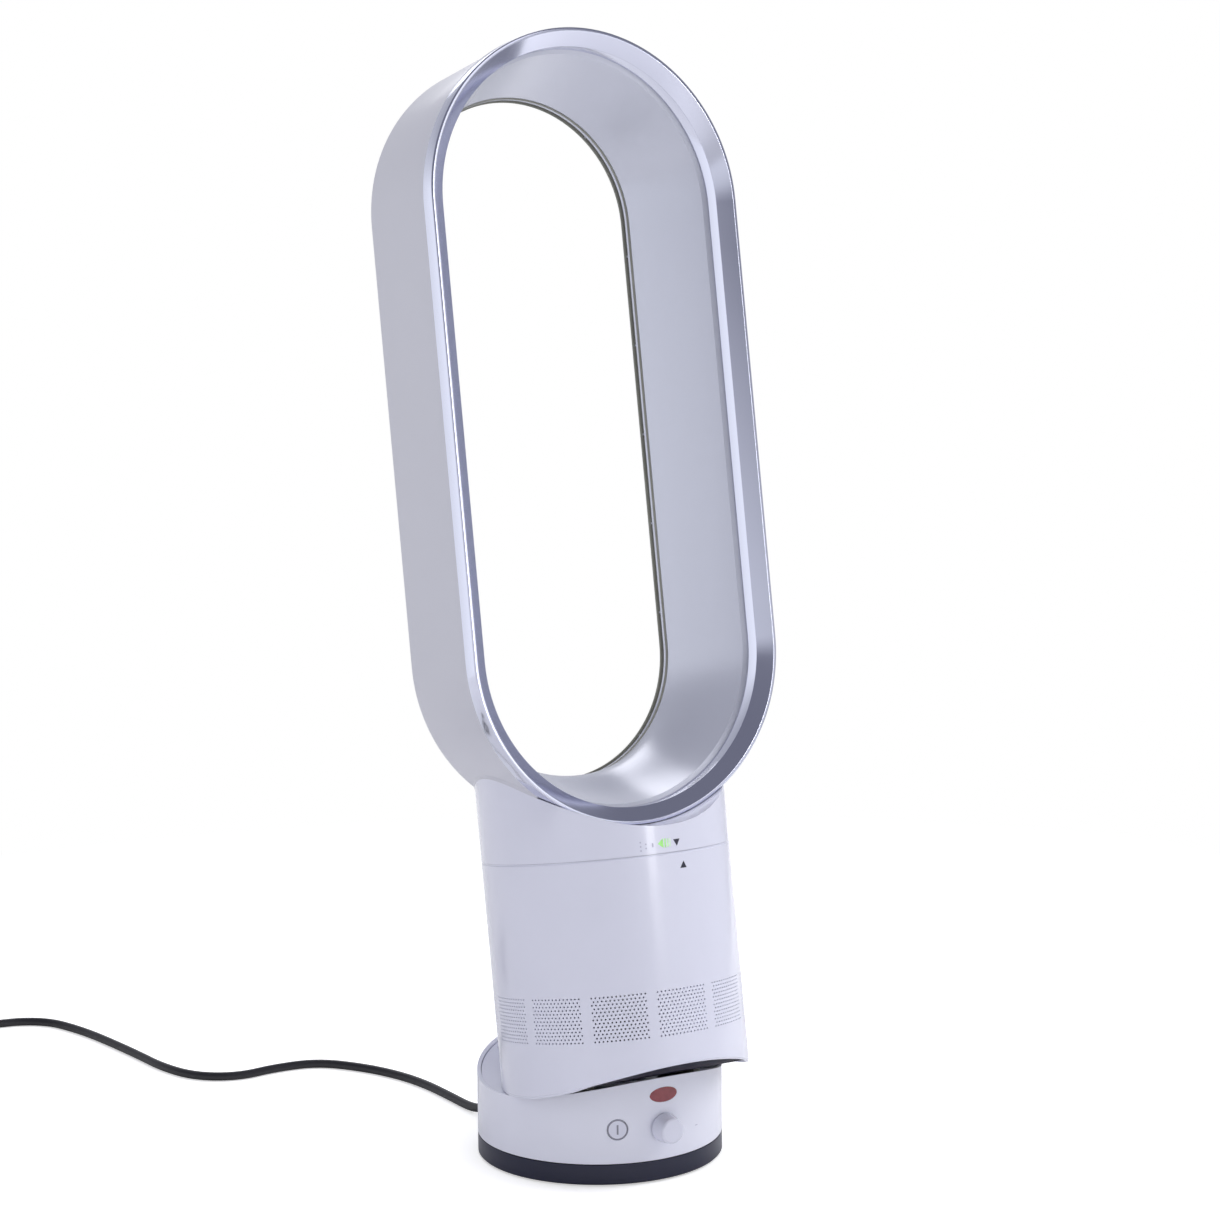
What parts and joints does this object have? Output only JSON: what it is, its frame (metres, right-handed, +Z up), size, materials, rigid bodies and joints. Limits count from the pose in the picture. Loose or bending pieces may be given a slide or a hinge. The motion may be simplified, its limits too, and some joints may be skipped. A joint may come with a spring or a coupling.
{
  "type": "bladeless tower fan",
  "caption": "Bladeless tower fan: a long open loop on a perforated cylindrical body that tilts and oscillates on its round base.",
  "frame": {"origin": "centre of the base's underside, on the table", "axes": "+Z up, -Y to the front of the base, +X to the viewer's right when seen from the front"},
  "size_m": [0.532, 0.6479, 0.7253],
  "materials": {
    "foot_charcoal": "fine satin charcoal moulding",
    "pad_rubber": "matt rubber sheet",
    "ballast_steel": "zinc-plated steel",
    "acetal": "natural acetal",
    "bright_steel": "ground steel",
    "cord_black": "black flexible sheath",
    "plug_nickel": "nickel-plated pins",
    "white_gloss": "glossy white moulding",
    "duct_silver": "satin silver moulding",
    "trim_silver": "metallic silver lacquer",
    "deck_black": "matt black moulding",
    "inner_grey": "grey structural moulding",
    "board_green": "green solder resist",
    "switch_black": "black component housing",
    "motor_steel": "plated motor can",
    "screw_steel": "zinc-plated screws",
    "window_red": "dark red infra-red window",
    "foam_grey": "open-cell foam",
    "seal_rubber": "soft elastomer",
    "rotor_nylon": "glass-filled nylon",
    "housing_black": "black moulding",
    "display_film": "display board with green digits"
  },
  "bodies": {
    "foot": {"foot_plate": "foot_charcoal", "anti_slip_pad": "pad_rubber", "ballast_plate": "ballast_steel", "slide_ring": "acetal", "ring_gear": "acetal", "hub_retainer": "bright_steel", "cord_gland": "cord_black", "power_cord": "cord_black", "cord_coil": "cord_black", "cord_tail": "cord_black", "plug_body": "cord_black", "plug_pins": "plug_nickel"},
    "swivel_base": {"base_shell": "white_gloss", "turntable": "inner_grey", "saddle_deck": "white_gloss", "swivel_motor": "motor_steel", "panel_bracket": "inner_grey", "control_board": "board_green", "key_board": "board_green", "tact_switch": "switch_black", "speed_encoder": "switch_black", "ir_receiver": "switch_black", "receiver_window": "window_red", "base_screws": "screw_steel"},
    "pinion": {"swivel_pinion": "acetal"},
    "button": {"power_button": "white_gloss"},
    "knob": {"speed_knob": "white_gloss"},
    "tilt_body": {"body_shell": "white_gloss", "tilt_keel": "deck_black", "tilt_runners": "acetal", "body_screws": "screw_steel", "driver_board": "board_green", "silencer_foam": "foam_grey", "impeller_housing": "housing_black", "housing_seal": "seal_rubber", "diffuser": "housing_black", "motor_bucket_lower": "housing_black", "motor_bucket_upper": "housing_black", "fan_motor": "motor_steel", "motor_isolator": "seal_rubber", "bayonet_socket": "inner_grey", "display_board": "display_film"},
    "rotor": {"impeller": "rotor_nylon", "impeller_shaft": "bright_steel"},
    "nozzle": {"collar_shell": "white_gloss", "bayonet_ring": "inner_grey", "spigot_seal": "seal_rubber", "nozzle_casing": "white_gloss", "nozzle_duct": "duct_silver", "front_trim": "trim_silver", "slot_spacers": "duct_silver"}
  },
  "joints": [
    {"name": "oscillation", "type": "hinge", "parent": "foot", "child": "swivel_base", "pos_m": [0, 0, 0.0149], "axis": [0, 0, 1], "range_deg": [-45, 45]},
    {"name": "pinion_spin", "type": "hinge", "parent": "swivel_base", "child": "pinion", "pos_m": [0, 0.04, 0.012], "axis": [0, 0, 1], "range_deg": [-270, 270]},
    {"name": "power_press", "type": "slide", "parent": "swivel_base", "child": "button", "axis": [0.3827, 0.9239, 0], "range_m": [0, 0.0008], "stiffness_N_per_m": 400},
    {"name": "speed_turn", "type": "hinge", "parent": "swivel_base", "child": "knob", "pos_m": [0, -0.08, 0.0352], "axis": [0, -1, 0], "range_deg": [-135, 135]},
    {"name": "tilt", "type": "hinge", "parent": "swivel_base", "child": "tilt_body", "pos_m": [0, 0, 0.263], "axis": [-1, 0, 0], "range_deg": [-19.2, 0.8]},
    {"name": "impeller_spin", "type": "hinge", "parent": "tilt_body", "child": "rotor", "pos_m": [0, 0, 0.263], "axis": [0, 0.1599, 0.9871], "continuous": true},
    {"name": "nozzle_twist", "type": "hinge", "parent": "tilt_body", "child": "nozzle", "pos_m": [0, 0, 0.263], "axis": [0, 0.1599, 0.9871], "range_deg": [0, 15]}
  ],
  "couplings": [
    {"joint": "pinion_spin", "follows": "oscillation", "ratio": -6}
  ]
}
